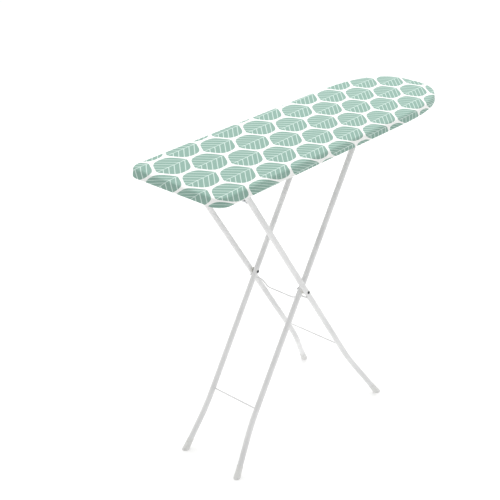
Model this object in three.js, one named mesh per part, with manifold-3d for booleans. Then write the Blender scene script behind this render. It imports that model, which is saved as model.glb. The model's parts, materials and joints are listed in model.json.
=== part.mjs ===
// Compact folding ironing board on two crossed leg sets.
// Millimetres, +Z up, +X towards the pointed nose, origin on the floor under the middle of the board.
import * as THREE from 'three';
import { mergeVertices } from 'three/addons/utils/BufferGeometryUtils.js';
import Module from 'manifold-3d';

const wasm = await Module();
wasm.setup();

// ---------------------------------------------------------------- driving dimensions

const GAP = 0.3; // between pieces that touch
const SIDES = { left: 1, right: -1 }; // left and right of someone who looks along +X

const BOARD = {
  length: 1022,
  width: 316,
  top: 901,
  edge: 26, // height of the padded edge
  noseStart: 212, // where the straight sides end
  nosePowerX: 2.62,
  nosePowerY: 2.72,
  cornerRadius: 34,
};
const FABRIC = 1.5;
const HEM_WIDTH = 30;
const PAD = 4.3;
const PANEL = { sheet: 0.7, holeRadius: 7, holePitch: 58, margin: 26, columns: 10, rows: 3 };
const RIM = { width: 12, sheet: 0.9 };
const RIB = { width: 24, sheet: 0.9 };

const SCISSOR = {
  axisZ: 822, // height of the hinge and of the sliding bar
  pivotX: -116,
  pivotZ: 471.4,
  outerLean: 0.6512, // run over rise of the outer tubes
  innerLean: 0.6157,
  barFoldedX: 484, // where the sliding bar ends when the legs lie flat
};
const TUBE = { radius: 8, wall: 0.9, sides: 12, steps: 22 };
const CROSSBAR_RADIUS = 5;
const WIRE_RADIUS = 2;
const RIVET = { shank: 3.1, hole: 3.5, head: 4.6, headHeight: 2 };
const SMALL_RIVET = { head: 3.4, crown: 2.4, headHeight: 2 };
const WASHER_RADIUS = 9;
const OUTER = { sign: 1, topY: 103, pivotY: 103, braceZ: 221, bendZ: 156, footY: 141.7, overrun: 34 };
const INNER = { sign: -1, topY: 83, pivotY: 83, braceZ: 168, bendZ: 126, footY: 97.7, overrun: 9 };
const BEND_HALF = 40; // half the height over which a tube bends outwards
const TUBE_END_Z = 14; // the tube stops above the floor, inside its foot cap
const FOOT = { above: 19, below: 22, topRadius: 9.2, baseRadius: 10.3 };
const SPREADER = { below: 17, drop: 15, leftCrank: [60, 36], rightCrank: [56, 84] };

const RAIL = { start: 70, end: 502, halfWidth: 26, top: 838, bottom: 808, sheet: 1.2 };
const BUSH = { radius: 7, flange: 10, slotHalf: 8.75 };
const HANGER = { places: [150, 320, 460], halfWidth: 20, length: 24, sheet: 1.2, rivetY: 9 };
const LEVER = { pivotY: -20, pivotZ: 848, eye: 7, thickness: 3, pin: 2.5, tongueY: 48, tongueFoot: 819 };
const LEVER_TIP = { y: 140, low: 838, high: 844.5 };
const GRIP = { start: 114, end: 151, halfWidth: 8, halfHeight: 6.5, chamfer: 3.2 };

// ---------------------------------------------------------------- levels worked out from them

const coverInner = BOARD.top - FABRIC;
const padTop = coverInner - GAP;
const panelTop = padTop - PAD - GAP;
const rimTop = panelTop - PANEL.sheet - GAP;
const rimBottom = BOARD.top - BOARD.edge + FABRIC + GAP;
const ribTop = rimTop - RIM.sheet - GAP;
const ribBottom = rimBottom + RIM.sheet + GAP;
const hingeX = legX(OUTER, SCISSOR.axisZ);
const barX = legX(INNER, SCISSOR.axisZ);
const ribPlaces = [hingeX, -90, ...HANGER.places];

// ---------------------------------------------------------------- materials

const FINISH = {
  cover: { color: 0xcfe5dc, roughness: 0.9, metalness: 0 },
  pad: { color: 0xe9e6df, roughness: 0.95, metalness: 0 },
  panel: { color: 0xd5d7d8, roughness: 0.5, metalness: 0.6 },
  enamel: { color: 0xf1f1ef, roughness: 0.4, metalness: 0.1 },
  zinc: { color: 0xb4b6b8, roughness: 0.35, metalness: 0.9 },
  darkSteel: { color: 0x55585a, roughness: 0.45, metalness: 0.8 },
  foot: { color: 0xe6e6e3, roughness: 0.6, metalness: 0 },
  nylon: { color: 0xdcdcd8, roughness: 0.6, metalness: 0 },
};

const board = new THREE.Group();

function add(name, finish, geometry) {
  const mesh = new THREE.Mesh(geometry, new THREE.MeshStandardMaterial(FINISH[finish]));
  mesh.name = name;
  board.add(mesh);
}

// ---------------------------------------------------------------- shape helpers

// Closed mesh to solid, so that pieces can be joined and cut.
function solid(geometry) {
  const bare = geometry.clone();
  bare.deleteAttribute('normal');
  bare.deleteAttribute('uv');
  const merged = mergeVertices(bare, 1e-4);
  const vertProperties = new Float32Array(merged.attributes.position.array);
  const triVerts = new Uint32Array(merged.index.array);
  return new wasm.Manifold(new wasm.Mesh({ numProp: 3, vertProperties, triVerts }));
}

function surface(manifold) {
  const mesh = manifold.getMesh();
  const geometry = new THREE.BufferGeometry();
  geometry.setAttribute('position', new THREE.BufferAttribute(mesh.vertProperties, 3));
  geometry.setIndex(new THREE.BufferAttribute(mesh.triVerts, 1));
  return geometry;
}

function cut(base, ...tools) {
  return surface(tools.reduce((rest, tool) => rest.subtract(solid(tool)), solid(base)));
}

function join(first, ...others) {
  return surface(others.reduce((sum, other) => sum.add(solid(other)), solid(first)));
}

function circle(radius, sides, centreX = 0, centreY = 0) {
  const points = [];
  for (let i = 0; i < sides; i += 1) {
    const angle = (i / sides) * Math.PI * 2;
    points.push(new THREE.Vector2(centreX + radius * Math.cos(angle), centreY + radius * Math.sin(angle)));
  }
  return points;
}

function rectangle(x0, x1, y0, y1) {
  return [[x0, y0], [x1, y0], [x1, y1], [x0, y1]].map(([x, y]) => new THREE.Vector2(x, y));
}

function prism(points, depth, holes = []) {
  const shape = new THREE.Shape(points);
  shape.holes = holes.map((hole) => new THREE.Path(hole));
  return new THREE.ExtrudeGeometry(shape, { depth, bevelEnabled: false });
}

// Plan shape (x, y) between two heights.
function slab(points, low, high, holes) {
  return prism(points, high - low, holes).translate(0, 0, low);
}

// Side shape (x, z) between two y values.
function sidePlate(points, low, high, holes) {
  const turn = new THREE.Matrix4().makeBasis(
    new THREE.Vector3(1, 0, 0),
    new THREE.Vector3(0, 0, 1),
    new THREE.Vector3(0, -1, 0),
  );
  return prism(points, high - low, holes).applyMatrix4(turn).translate(0, high, 0);
}

// Cross shape (y, z) between two x values.
function crossPlate(points, low, high, holes) {
  const turn = new THREE.Matrix4().makeBasis(
    new THREE.Vector3(0, 1, 0),
    new THREE.Vector3(0, 0, 1),
    new THREE.Vector3(1, 0, 0),
  );
  return prism(points, high - low, holes).applyMatrix4(turn).translate(low, 0, 0);
}

function box(x0, x1, y0, y1, z0, z1) {
  return slab(rectangle(x0, x1, y0, y1), z0, z1);
}

// Turned piece about the Y axis, from [radius, y] pairs.
function turned(profile, sides = 16) {
  const points = profile.map(([radius, y]) => new THREE.Vector2(radius, y));
  return new THREE.LatheGeometry(points, sides);
}

// Ring about the Y axis: the profile closes on itself.
function turnedRing(profile, sides) {
  return turned([...profile, profile[0]], sides);
}

function rod(path, radius, sides, steps) {
  const shape = new THREE.Shape(circle(radius, sides));
  return new THREE.ExtrudeGeometry(shape, { extrudePath: path, steps, bevelEnabled: false });
}

function tube(path, radius, wall, sides, steps) {
  const shape = new THREE.Shape(circle(radius, sides));
  shape.holes = [new THREE.Path(circle(radius - wall, sides))];
  return new THREE.ExtrudeGeometry(shape, { extrudePath: path, steps, bevelEnabled: false });
}

// ---------------------------------------------------------------- board outline

// Half width of the board at x: straight sides, then a superellipse nose.
function halfWidth(x) {
  const reach = Math.max(0, x - BOARD.noseStart) / (BOARD.length / 2 - BOARD.noseStart);
  return (BOARD.width / 2) * (1 - reach ** BOARD.nosePowerX) ** (1 / BOARD.nosePowerY);
}

// Plan outline, anticlockwise from the nose tip, moved inwards by inset.
function outline(inset) {
  const noseSteps = 18;
  const cornerSteps = 6;
  const half = [];
  for (let i = 0; i <= noseSteps; i += 1) {
    const turn = (i / noseSteps) * (Math.PI / 2);
    const reach = Math.cos(turn) ** (2 / BOARD.nosePowerX);
    const x = BOARD.noseStart + (BOARD.length / 2 - BOARD.noseStart) * reach;
    half.push([x, (BOARD.width / 2) * Math.sin(turn) ** (2 / BOARD.nosePowerY)]);
  }
  for (let i = 0; i <= cornerSteps; i += 1) {
    const turn = (i / cornerSteps) * (Math.PI / 2);
    const x = -BOARD.length / 2 + BOARD.cornerRadius * (1 - Math.sin(turn));
    half.push([x, BOARD.width / 2 - BOARD.cornerRadius * (1 - Math.cos(turn))]);
  }
  const mirrored = half.slice(1).reverse().map(([x, y]) => [x, -y]);
  const loop = [...half, ...mirrored].map(([x, y]) => new THREE.Vector2(x, y));
  return loop.map((point, i) => {
    const before = loop[(i + loop.length - 1) % loop.length];
    const after = loop[(i + 1) % loop.length];
    const into = point.clone().sub(before).normalize();
    const out = after.clone().sub(point).normalize();
    const bisector = new THREE.Vector2(-into.y - out.y, into.x + out.x).normalize();
    const mitre = Math.max(0.5, bisector.dot(new THREE.Vector2(-into.y, into.x)));
    return point.clone().addScaledVector(bisector, inset / mitre);
  });
}

// ---------------------------------------------------------------- leg lines

// x of a leg set's tubes at height z.
function legX(leg, z) {
  const lean = leg.sign > 0 ? SCISSOR.outerLean : SCISSOR.innerLean;
  return SCISSOR.pivotX + leg.sign * lean * (SCISSOR.pivotZ - z);
}

function legPoint(leg, z, y) {
  return new THREE.Vector3(legX(leg, z), y, z);
}

// y of the upper part of a tube at height z, on the left side.
function upperY(leg, z) {
  const slope = (leg.topY - leg.pivotY) / (SCISSOR.axisZ - SCISSOR.pivotZ);
  return leg.pivotY + slope * (z - SCISSOR.pivotZ);
}

// y of the splayed lower part at height z.
function lowerY(leg, z) {
  const bendY = upperY(leg, leg.bendZ);
  return bendY + ((leg.bendZ - z) / (leg.bendZ - TUBE_END_Z)) * (leg.footY - bendY);
}

// Unit vector down a leg set, in the plane of its side.
function legDown(leg) {
  return legPoint(leg, 0, 0).sub(legPoint(leg, 1, 0)).normalize();
}

// Point beside a tube, on its lower face, as far out as a wire that is welded to it.
function weldPoint(leg, z, y) {
  const down = legDown(leg);
  const under = new THREE.Vector3(leg.sign * down.z, 0, -leg.sign * down.x);
  return legPoint(leg, z, y).addScaledVector(under, TUBE.radius + WIRE_RADIUS + GAP);
}

function legTube(leg, side) {
  const top = legPoint(leg, SCISSOR.axisZ, side * leg.topY).addScaledVector(legDown(leg), -leg.overrun);
  const highBend = legPoint(leg, leg.bendZ + BEND_HALF, side * upperY(leg, leg.bendZ + BEND_HALF));
  const bend = legPoint(leg, leg.bendZ, side * upperY(leg, leg.bendZ));
  const lowBend = legPoint(leg, leg.bendZ - BEND_HALF, side * lowerY(leg, leg.bendZ - BEND_HALF));
  const end = legPoint(leg, TUBE_END_Z, side * leg.footY);
  const path = new THREE.CurvePath();
  path.add(new THREE.LineCurve3(top, highBend));
  path.add(new THREE.QuadraticBezierCurve3(highBend, bend, lowBend));
  path.add(new THREE.LineCurve3(lowBend, end));
  const whole = tube(path, TUBE.radius, TUBE.wall, TUBE.sides, TUBE.steps);
  const drill = new THREE.CylinderGeometry(RIVET.hole, RIVET.hole, TUBE.radius * 3, 12);
  drill.translate(SCISSOR.pivotX, side * leg.pivotY, SCISSOR.pivotZ);
  return cut(whole, drill);
}

// Plastic cap over the end of a tube, ground flat on the floor.
function footCap(leg, side) {
  const end = legPoint(leg, TUBE_END_Z, side * leg.footY);
  const above = legPoint(leg, TUBE_END_Z * 2, side * lowerY(leg, TUBE_END_Z * 2));
  const bore = TUBE.radius + GAP;
  const profile = [
    [0, FOOT.below],
    [FOOT.baseRadius, FOOT.below],
    [FOOT.baseRadius, 2],
    [FOOT.topRadius, -FOOT.above],
    [bore, -FOOT.above],
    [bore, GAP],
    [0, GAP],
  ];
  const cap = turned(profile.reverse(), 18);
  const aim = new THREE.Quaternion().setFromUnitVectors(
    new THREE.Vector3(0, 1, 0),
    end.clone().sub(above).normalize(),
  );
  cap.applyQuaternion(aim).translate(end.x, end.y, end.z);
  const floor = box(end.x - 80, end.x + 80, end.y - 80, end.y + 80, -80, 0);
  return cut(cap, floor);
}

// ---------------------------------------------------------------- board top

function makeCover() {
  const base = BOARD.top - BOARD.edge;
  const whole = slab(outline(0), base, BOARD.top);
  const inside = slab(outline(FABRIC), base + FABRIC, coverInner);
  const opening = slab(outline(HEM_WIDTH), base - 5, base + FABRIC + 1);
  return cut(whole, inside, opening);
}

// Sheet with steam holes in staggered rows, kept clear of the rim.
function makePanel() {
  const sheet = slab(outline(FABRIC + GAP), panelTop - PANEL.sheet, panelTop);
  const holes = [];
  const rowPitch = PANEL.holePitch * Math.sin(Math.PI / 3);
  for (let column = -PANEL.columns; column <= PANEL.columns; column += 1) {
    for (let row = -PANEL.rows; row <= PANEL.rows; row += 1) {
      const x = (column + (row % 2 ? 0.5 : 0)) * PANEL.holePitch;
      const y = row * rowPitch;
      const fitsAcross = Math.abs(y) + PANEL.holeRadius < halfWidth(x + PANEL.holeRadius) - PANEL.margin;
      const fitsAlong = Math.abs(x) + PANEL.holeRadius < BOARD.length / 2 - PANEL.margin;
      if (fitsAcross && fitsAlong) {
        holes.push(slab(circle(PANEL.holeRadius, 6, x, y), panelTop - 5, panelTop + 5));
      }
    }
  }
  return cut(sheet, join(...holes));
}

function makeRim() {
  const ring = slab(outline(FABRIC + GAP), rimBottom, rimTop, [outline(FABRIC + GAP + RIM.width)]);
  const inner = outline(FABRIC + GAP + RIM.sheet);
  const channel = slab(inner, rimBottom + RIM.sheet, rimTop - RIM.sheet);
  return cut(ring, channel);
}

// Pressed rib across the board: a channel that opens downwards, tucked into the rim at both ends.
function makeRib(x) {
  const half = RIB.width / 2;
  const inset = FABRIC + GAP + RIM.sheet + GAP + 1;
  const reach = Math.min(halfWidth(x - half), halfWidth(x + half)) - inset * 1.6;
  const profile = [
    [-half, ribBottom],
    [RIB.sheet - half, ribBottom],
    [RIB.sheet - half, ribTop - RIB.sheet],
    [half - RIB.sheet, ribTop - RIB.sheet],
    [half - RIB.sheet, ribBottom],
    [half, ribBottom],
    [half, ribTop],
    [-half, ribTop],
  ].map(([dx, z]) => new THREE.Vector2(x + dx, z));
  return sidePlate(profile, -reach, reach);
}

function makeTop() {
  add('cover', 'cover', makeCover());
  add('pad', 'pad', slab(outline(FABRIC + GAP), padTop - PAD, padTop));
  add('top_panel', 'panel', makePanel());
  add('rim_channel', 'enamel', makeRim());
  ribPlaces.forEach((x, i) => add(`cross_rib_${i + 1}`, 'enamel', makeRib(x)));
}

// ---------------------------------------------------------------- fixed hinge

const BRACKET = { y: 62, sheet: 3, flange: 20, halfTop: 24, eye: 10, flangeSheet: 1.8, rivetX: 15, rivetY: 11.5 };

// Hanging plate with a round eye for the crossbar and a flange under the rib.
function makeHingeBracket(side) {
  const top = ribBottom - GAP;
  const points = [
    new THREE.Vector2(hingeX + BRACKET.halfTop, top),
    new THREE.Vector2(hingeX - BRACKET.halfTop, top),
  ];
  for (let i = 0; i <= 8; i += 1) {
    const angle = Math.PI + (i / 8) * Math.PI;
    const x = hingeX + BRACKET.eye * Math.cos(angle);
    points.push(new THREE.Vector2(x, SCISSOR.axisZ + BRACKET.eye * Math.sin(angle)));
  }
  const eye = circle(CROSSBAR_RADIUS + GAP, 16, hingeX, SCISSOR.axisZ);
  const near = side * BRACKET.y;
  const far = near + side * BRACKET.sheet;
  const edge = near + side * BRACKET.flange;
  const plate = sidePlate(points, Math.min(near, far), Math.max(near, far), [eye]);
  const flange = box(
    hingeX - BRACKET.halfTop,
    hingeX + BRACKET.halfTop,
    Math.min(near, edge),
    Math.max(near, edge),
    top - BRACKET.flangeSheet,
    top,
  );
  return join(plate, flange);
}

// Domed rivet head hanging under a surface at height z.
function rivetHead(x, y, z) {
  const { head: rim, crown, headHeight } = SMALL_RIVET;
  const head = turned([[0, -headHeight], [crown, -headHeight * 0.8], [rim, 0], [0, 0]], 10);
  return head.rotateX(Math.PI / 2).translate(x, y, z);
}

function makeHinge() {
  const z = ribBottom - 2 * GAP - BRACKET.flangeSheet;
  Object.entries(SIDES).forEach(([name, side]) => {
    const y = side * (BRACKET.y + BRACKET.rivetY);
    add(`hinge_bracket_${name}`, 'zinc', makeHingeBracket(side));
    add(`hinge_rivet_${name}_1`, 'zinc', rivetHead(hingeX - BRACKET.rivetX, y, z));
    add(`hinge_rivet_${name}_2`, 'zinc', rivetHead(hingeX + BRACKET.rivetX, y, z));
  });
}

// ---------------------------------------------------------------- height rail

function makeRail() {
  const { halfWidth: half, sheet, top, bottom } = RAIL;
  const profile = [
    [-half, bottom],
    [sheet - half, bottom],
    [sheet - half, top - sheet],
    [half - sheet, top - sheet],
    [half - sheet, bottom],
    [half, bottom],
    [half, top],
    [-half, top],
  ].map(([y, z]) => new THREE.Vector2(y, z));
  const channel = crossPlate(profile, RAIL.start, RAIL.end);
  const slack = BUSH.slotHalf - BUSH.radius - 2 * GAP;
  const slot = [];
  for (let i = 0; i <= 8; i += 1) {
    const angle = -Math.PI / 2 + (i / 8) * Math.PI;
    const x = SCISSOR.barFoldedX - slack + BUSH.slotHalf * Math.cos(angle);
    slot.push(new THREE.Vector2(x, SCISSOR.axisZ + BUSH.slotHalf * Math.sin(angle)));
  }
  for (let i = 0; i <= 8; i += 1) {
    const angle = Math.PI / 2 + (i / 8) * Math.PI;
    const x = barX + slack + BUSH.slotHalf * Math.cos(angle);
    slot.push(new THREE.Vector2(x, SCISSOR.axisZ + BUSH.slotHalf * Math.sin(angle)));
  }
  return cut(channel, sidePlate(slot, -half * 2, half * 2));
}

// Square loop of strip that holds the rail below a rib.
function makeHanger(x) {
  const { halfWidth: half, sheet, length } = HANGER;
  const low = RAIL.top + GAP;
  const high = ribBottom - GAP;
  const outer = rectangle(-half, half, low, high);
  const inner = rectangle(sheet - half, half - sheet, low + sheet, high - sheet);
  return crossPlate(outer, x - length / 2, x + length / 2, [inner]);
}

function makeRailParts() {
  add('height_rail', 'enamel', makeRail());
  const z = ribBottom - 2 * GAP - HANGER.sheet;
  HANGER.places.forEach((x, i) => {
    add(`rail_hanger_${i + 1}`, 'zinc', makeHanger(x));
    add(`hanger_rivet_${i + 1}_left`, 'zinc', rivetHead(x, HANGER.rivetY, z));
    add(`hanger_rivet_${i + 1}_right`, 'zinc', rivetHead(x, -HANGER.rivetY, z));
  });
}

// ---------------------------------------------------------------- leg sets

// Straight rod between the inner faces of a pair of tubes.
function makeCrossbar(leg) {
  const length = 2 * (leg.topY - TUBE.radius - 2 * GAP);
  const bar = new THREE.CylinderGeometry(CROSSBAR_RADIUS, CROSSBAR_RADIUS, length, 16);
  return bar.translate(legX(leg, SCISSOR.axisZ), 0, SCISSOR.axisZ);
}

// Straight wire between the inner faces of a pair of tubes.
function makeBraceWire(leg) {
  const y = upperY(leg, leg.braceZ) - TUBE.radius - 2 * GAP;
  const path = new THREE.LineCurve3(legPoint(leg, leg.braceZ, -y), legPoint(leg, leg.braceZ, y));
  return rod(path, WIRE_RADIUS, 8, 1);
}

// Wire welded under the outer tubes below the pivots, with its middle cranked down.
function makeSpreaderWire() {
  const z = SCISSOR.pivotZ + SPREADER.below * legDown(OUTER).z;
  const end = weldPoint(OUTER, z, 0);
  const outerY = upperY(OUTER, z) + WIRE_RADIUS;
  const crank = ([high, low], side) => {
    const shares = [0, 0.25, 0.5, 0.75, 1];
    const drops = [0, 0.1, 0.5, 0.9, 1];
    return shares.map((share, i) => [side * (high + share * (low - high)), -SPREADER.drop * drops[i]]);
  };
  const left = [[outerY, 0], ...crank(SPREADER.leftCrank, 1)];
  const right = [[-outerY, 0], ...crank([...SPREADER.rightCrank].reverse(), -1)].reverse();
  const points = [...left, ...right].map(([y, dz]) => new THREE.Vector3(end.x, y, end.z + dz));
  return rod(new THREE.CatmullRomCurve3(points, false, 'centripetal'), WIRE_RADIUS, 8, 40);
}

// Rivet through both tubes on one side, with a domed head at each end.
function makePivotRivet(side) {
  const inner = INNER.pivotY - TUBE.radius - GAP;
  const outer = OUTER.pivotY + TUBE.radius + GAP;
  const { shank, head, headHeight } = RIVET;
  const profile = [
    [0, inner - headHeight],
    [head * 0.65, inner - headHeight * 0.75],
    [head, inner],
    [shank, inner],
    [shank, outer],
    [head, outer],
    [head * 0.65, outer + headHeight * 0.75],
    [0, outer + headHeight],
  ];
  const rivet = turned(profile, 14);
  if (side < 0) {
    rivet.rotateX(Math.PI);
  }
  return rivet.translate(SCISSOR.pivotX, 0, SCISSOR.pivotZ);
}

function makeWasher(side) {
  const low = INNER.pivotY + TUBE.radius + GAP;
  const high = OUTER.pivotY - TUBE.radius - GAP;
  const washer = turnedRing([[RIVET.hole, low], [WASHER_RADIUS, low], [WASHER_RADIUS, high], [RIVET.hole, high]], 14);
  if (side < 0) {
    washer.rotateX(Math.PI);
  }
  return washer.translate(SCISSOR.pivotX, 0, SCISSOR.pivotZ);
}

// Nylon spool on the sliding bar: its waist runs in the slot of the rail.
function makeBush(side) {
  const bore = CROSSBAR_RADIUS + GAP;
  const wall = RAIL.halfWidth - RAIL.sheet;
  const play = 0.8;
  const profile = [
    [bore, wall - play - 3],
    [BUSH.flange, wall - play - 3],
    [BUSH.flange, wall - play],
    [BUSH.radius, wall - play],
    [BUSH.radius, RAIL.halfWidth + play],
    [BUSH.flange, RAIL.halfWidth + play],
    [BUSH.flange, RAIL.halfWidth + play + 3],
    [bore, RAIL.halfWidth + play + 3],
  ];
  const bush = turnedRing(profile, 16);
  if (side < 0) {
    bush.rotateX(Math.PI);
  }
  return bush.translate(barX, 0, SCISSOR.axisZ);
}

function makeLegs() {
  Object.entries({ outer: OUTER, inner: INNER }).forEach(([set, leg]) => {
    Object.entries(SIDES).forEach(([name, side]) => {
      add(`${set}_leg_${name}`, 'enamel', legTube(leg, side));
      add(`${set}_foot_${name}`, 'foot', footCap(leg, side));
    });
    add(`${set}_crossbar`, 'zinc', makeCrossbar(leg));
    add(`${set}_brace_wire`, 'enamel', makeBraceWire(leg));
  });
  add('spreader_wire', 'enamel', makeSpreaderWire());
  Object.entries(SIDES).forEach(([name, side]) => {
    add(`pivot_rivet_${name}`, 'darkSteel', makePivotRivet(side));
    add(`pivot_washer_${name}`, 'nylon', makeWasher(side));
    add(`bar_bush_${name}`, 'nylon', makeBush(side));
  });
}

// ---------------------------------------------------------------- release lever

const leverX = barX + CROSSBAR_RADIUS + 0.4;
const EAR = { sheet: 1.8, base: 1.6, before: 2.2, after: 9.6, half: 10, height: 7 };
const PIN_HEAD = 1.6; // height of the lever pin's heads, and how far they stand out
const SPRING = { wire: 0.55, radius: 4.3, pitch: 1.5, turns: 4, tail: 9, clearance: 1.4 };

// Steel plate: an eye on the pin, an arm to the long side and a tongue in front of the sliding bar.
function makeLever() {
  const { pivotY, pivotZ, tongueY, tongueFoot } = LEVER;
  const tongueHalf = 5;
  const round = 2;
  const points = [];
  for (let i = 0; i <= 10; i += 1) {
    const angle = Math.PI / 3 + (i / 10) * (Math.PI * 4) / 3;
    points.push([pivotY + LEVER.eye * Math.cos(angle), pivotZ + LEVER.eye * Math.sin(angle)]);
  }
  points.push(
    [tongueY - tongueHalf, pivotZ - 5],
    [tongueY - tongueHalf, tongueFoot + round],
    [tongueY - tongueHalf + round, tongueFoot],
    [tongueY + tongueHalf - round, tongueFoot],
    [tongueY + tongueHalf, tongueFoot + round],
    [tongueY + tongueHalf, pivotZ - 5.5],
    [75, pivotZ - 6],
    [112, LEVER_TIP.low],
    [LEVER_TIP.y, LEVER_TIP.low],
    [LEVER_TIP.y, LEVER_TIP.high],
    [112, LEVER_TIP.high],
    [75, pivotZ + 4],
    [0, pivotZ + 5.5],
  );
  const eye = circle(LEVER.pin + 0.4, 12, pivotY, pivotZ);
  const profile = points.map(([y, z]) => new THREE.Vector2(y, z));
  return crossPlate(profile, leverX, leverX + LEVER.thickness, [eye]);
}

// Grip pushed over the end of the lever, eight-sided in section.
function makeLeverGrip() {
  const { start, end, halfWidth: w, halfHeight: h, chamfer: c } = GRIP;
  const { y, low, high } = LEVER_TIP;
  const middleX = leverX + LEVER.thickness / 2;
  const middleZ = (low + high) / 2 - 0.45;
  const section = [[-w, c - h], [c - w, -h], [w - c, -h], [w, c - h], [w, h - c], [w - c, h], [c - w, h], [-w, h - c]];
  const points = section.map(([dx, dz]) => new THREE.Vector2(middleX + dx, middleZ + dz));
  const grip = sidePlate(points, start, end);
  const socket = box(leverX - GAP, leverX + LEVER.thickness + GAP, start - 4, y + GAP, low - GAP, high + GAP);
  return cut(grip, socket);
}

// Small U-shaped bracket on top of the rail, with an ear on each side of the lever.
function makeLeverBracket() {
  const { pivotY, pivotZ, pin, thickness } = LEVER;
  const base = RAIL.top + GAP;
  const eye = circle(pin + GAP, 12, pivotY, pivotZ);
  const ear = rectangle(pivotY - EAR.half, pivotY + EAR.half, base, pivotZ + EAR.height);
  const first = leverX - EAR.before;
  const last = leverX + thickness + EAR.after;
  return join(
    crossPlate(ear, first - EAR.sheet, first, [eye]),
    crossPlate(ear, last, last + EAR.sheet, [eye]),
    box(first - EAR.sheet, last + EAR.sheet, pivotY - EAR.half, pivotY + EAR.half, base, base + EAR.base),
  );
}

function makeLeverPin() {
  const first = leverX - EAR.before - EAR.sheet - GAP;
  const last = leverX + LEVER.thickness + EAR.after + EAR.sheet + GAP;
  const head = LEVER.pin + PIN_HEAD;
  const profile = [
    [0, first - PIN_HEAD],
    [head, first - PIN_HEAD],
    [head, first],
    [LEVER.pin, first],
    [LEVER.pin, last],
    [head, last],
    [head, last + PIN_HEAD],
    [0, last + PIN_HEAD],
  ];
  return turned(profile, 12).rotateZ(-Math.PI / 2).translate(0, LEVER.pivotY, LEVER.pivotZ);
}

// Torsion spring on the pin beside the lever, with a straight tail at each end.
function makeLeverSpring() {
  const { wire, radius, pitch, turns, tail, clearance } = SPRING;
  const start = leverX + LEVER.thickness + clearance;
  const points = [new THREE.Vector3(start, LEVER.pivotY - tail, LEVER.pivotZ - radius)];
  for (let i = 0; i <= turns * 10 + 5; i += 1) {
    const angle = -Math.PI / 2 + (i / 10) * Math.PI * 2;
    const y = LEVER.pivotY + radius * Math.cos(angle);
    points.push(new THREE.Vector3(start + (i / 10) * pitch, y, LEVER.pivotZ + radius * Math.sin(angle)));
  }
  const last = points[points.length - 1];
  points.push(new THREE.Vector3(last.x, LEVER.pivotY - tail, last.z));
  return rod(new THREE.CatmullRomCurve3(points), wire, 5, turns * 12 + 8);
}

function makeReleaseLever() {
  add('release_lever', 'enamel', makeLever());
  add('lever_grip', 'nylon', makeLeverGrip());
  add('lever_bracket', 'zinc', makeLeverBracket());
  add('lever_pin', 'zinc', makeLeverPin());
  add('lever_spring', 'zinc', makeLeverSpring());
}

makeTop();
makeHinge();
makeRailParts();
makeLegs();
makeReleaseLever();

export default board;
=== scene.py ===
"""Looks of a compact folding ironing board.

Printed cotton lies over a felt pad on a pierced steel top, above two crossed sets of painted tubes.
Lengths are metres, +Z is up and +X points to the nose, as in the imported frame.
"""

import json
import logging
import math
from dataclasses import dataclass, field
from enum import Enum

import bmesh
import bpy
import numpy as np
from bpy.types import Material, Mesh, Node, NodeSocket, NodeTree, Object
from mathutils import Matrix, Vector


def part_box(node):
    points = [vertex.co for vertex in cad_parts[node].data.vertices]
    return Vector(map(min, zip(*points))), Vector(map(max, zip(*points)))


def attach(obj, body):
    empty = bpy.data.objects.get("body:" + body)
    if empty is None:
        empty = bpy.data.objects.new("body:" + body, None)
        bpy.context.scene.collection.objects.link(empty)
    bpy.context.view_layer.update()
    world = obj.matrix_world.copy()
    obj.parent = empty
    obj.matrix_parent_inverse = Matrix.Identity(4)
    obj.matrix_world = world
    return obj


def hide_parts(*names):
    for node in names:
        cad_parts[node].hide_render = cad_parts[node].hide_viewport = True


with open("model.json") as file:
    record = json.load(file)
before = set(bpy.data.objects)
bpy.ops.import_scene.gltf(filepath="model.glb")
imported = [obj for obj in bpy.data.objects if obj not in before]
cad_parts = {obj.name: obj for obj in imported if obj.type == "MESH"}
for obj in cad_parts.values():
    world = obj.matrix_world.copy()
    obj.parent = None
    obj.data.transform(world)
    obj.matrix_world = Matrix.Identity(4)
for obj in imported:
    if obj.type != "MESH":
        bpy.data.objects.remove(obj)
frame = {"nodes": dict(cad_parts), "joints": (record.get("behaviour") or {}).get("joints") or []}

LOG = logging.getLogger("ironing_board")
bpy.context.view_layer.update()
MM = 0.001
SIDES = {"left": 1.0, "right": -1.0}
X_AXIS = np.array([1.0, 0.0, 0.0])
Y_AXIS = np.array([0.0, 1.0, 0.0])
SMOOTH = {"interpolation_type": "SMOOTHSTEP"}


class Body(str, Enum):
    """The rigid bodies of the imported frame."""

    BOARD = "board"
    OUTER = "outer_legs"
    INNER = "inner_legs"
    LEVER = "lever"


# ------------------------------------------------------------------ colour and shader helpers


def linear(colour: str) -> tuple[float, float, float, float]:
    """Turns an sRGB hex colour to a linear one.

    Args:
        colour: six hex digits after a hash sign.

    Returns:
        Red, green, blue and an alpha of 1.
    """
    srgb = np.array([int(colour[i : i + 2], 16) for i in (1, 3, 5)]) / 255
    values = np.where(srgb <= 0.04045, srgb / 12.92, ((srgb + 0.055) / 1.055) ** 2.4)
    return (*map(float, values), 1.0)


def new_material(name: str) -> tuple[Material, NodeTree, Node]:
    """Makes an empty node material.

    Args:
        name: the finish's name.

    Returns:
        The material, its node tree and its main shader.
    """
    material = bpy.data.materials.new(name)
    material.use_nodes = True
    tree = material.node_tree
    return material, tree, tree.nodes["Principled BSDF"]


def feed(tree: NodeTree, node: Node, inputs: dict) -> None:
    """Links or sets a node's inputs.

    Args:
        tree: the node tree.
        node: the node.
        inputs: a value, or the output socket to link, for each input by name or number.
    """
    for key, value in inputs.items():
        if isinstance(value, NodeSocket):
            tree.links.new(value, node.inputs[key])
        else:
            node.inputs[key].default_value = value


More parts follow.
